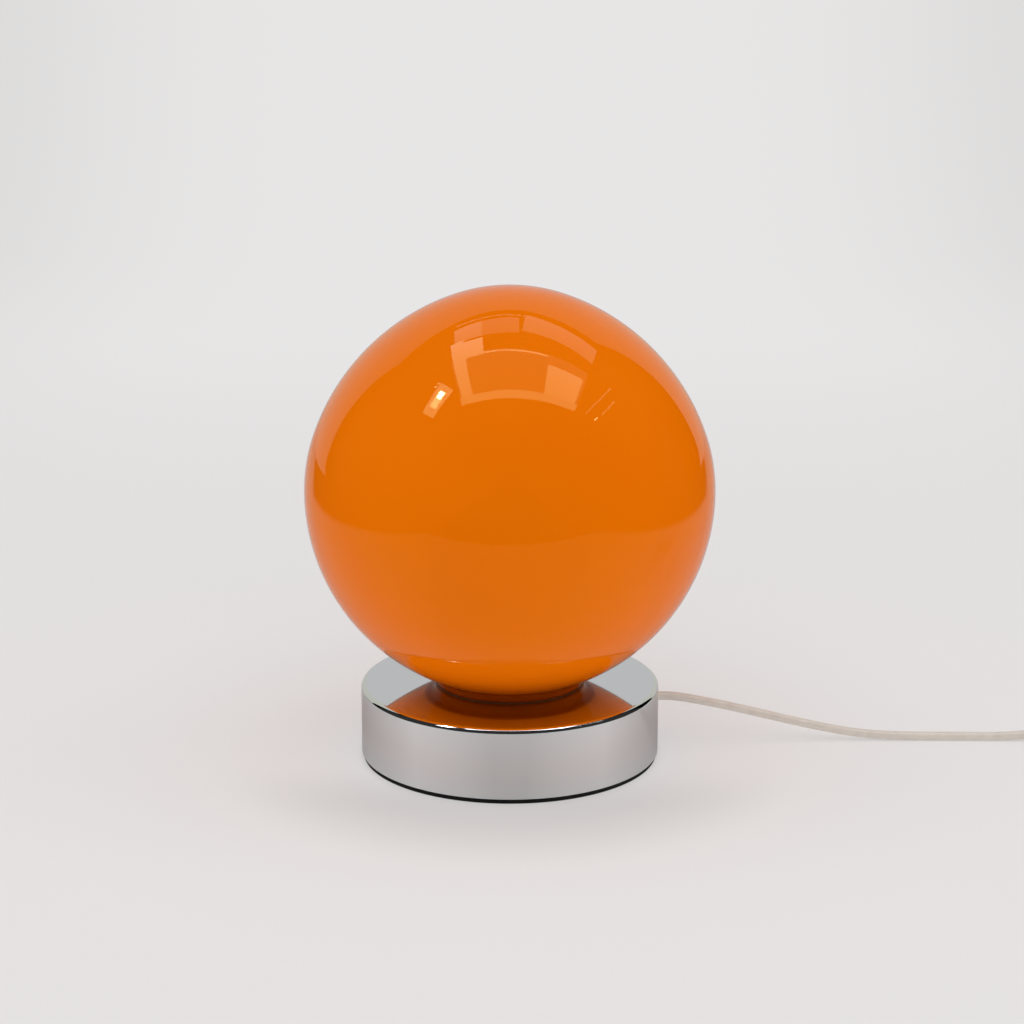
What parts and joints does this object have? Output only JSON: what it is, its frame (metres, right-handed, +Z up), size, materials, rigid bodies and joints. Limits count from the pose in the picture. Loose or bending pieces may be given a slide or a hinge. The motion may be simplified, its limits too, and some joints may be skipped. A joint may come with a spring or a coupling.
{
  "type": "table lamp",
  "caption": "Table lamp: an amber glass ball standing on a low round chromed drum, with a lampholder and bulb inside and a cream flex with an inline rocker switch and a mains plug.",
  "frame": {"origin": "centre of the foot pad's underside, on the table surface", "axes": "+Z up along the lamp's axis, -Y towards the room and the camera, +X to the side where the flex leaves the drum"},
  "size_m": [0.618, 0.2438, 0.2859],
  "materials": {
    "amber_glass": "glossy cased glass, opaque",
    "drum_chrome": "polished",
    "zinc_steel": "zinc plated",
    "spring_steel": "satin",
    "ballast_iron": "rough",
    "black_rubber": "matte",
    "brown_rubber": "matte",
    "cream_jacket": "satin",
    "cream_moulding": "satin",
    "live_brown": "satin",
    "neutral_blue": "satin",
    "nylon_natural": "satin",
    "white_holder": "gloss",
    "ceramic_white": "glazed",
    "plain_brass": "plain",
    "nickel_pins": "nickel plated",
    "bulb_opal": "frosted",
    "bulb_aluminium": "satin",
    "black_vitrite": "gloss",
    "clear_tie": "gloss"
  },
  "bodies": {
    "base": {"base_shell": "drum_chrome", "base_plate": "zinc_steel", "foot_pad": "black_rubber", "deck_posts": "zinc_steel", "ballast_ring": "ballast_iron", "plate_screws": "zinc_steel", "strain_relief": "cream_moulding", "inner_flex": "cream_jacket", "live_core": "live_brown", "neutral_core": "neutral_blue", "clamp_block": "nylon_natural", "clamp_saddle": "nylon_natural", "clamp_screws": "zinc_steel", "spring_collar": "zinc_steel", "leaf_springs": "spring_steel", "leaf_rivets": "plain_brass", "seat_gasket": "brown_rubber", "stem": "zinc_steel", "stem_nut": "plain_brass", "lock_washer": "zinc_steel", "holder_cap": "white_holder", "holder_insert": "ceramic_white", "screw_shell": "plain_brass", "terminals": "plain_brass", "centre_contact": "plain_brass", "holder_skirt": "white_holder", "flex_run": "cream_jacket", "flex_link": "cream_jacket", "flex_coil": "cream_jacket", "flex_tail": "cream_jacket", "coil_tie": "clear_tie", "switch_lower": "cream_moulding", "switch_upper": "cream_moulding", "rocker_pin": "zinc_steel", "switch_contacts": "plain_brass", "plug_body": "cream_moulding", "plug_pins": "nickel_pins", "pin_sleeves": "black_vitrite"},
    "globe": {"glass_globe": "amber_glass"},
    "bulb": {"bulb_glass": "bulb_opal", "bulb_cap": "bulb_aluminium", "bulb_insulator": "black_vitrite", "bulb_tip": "nickel_pins"},
    "rocker": {"switch_rocker": "cream_moulding"}
  },
  "joints": [
    {"name": "globe_lift", "type": "slide", "parent": "base", "child": "globe", "axis": [0, 0, 1], "range_m": [0, 0.16]},
    {"name": "bulb_out", "type": "slide", "parent": "base", "child": "bulb", "axis": [0, 0, 1], "range_m": [0, 0.03]},
    {"name": "rocker_tip", "type": "hinge", "parent": "base", "child": "rocker", "pos_m": [0.383, 0.0173, 0.0144], "axis": [0, 1, 0], "range_deg": [0, 14]}
  ]
}
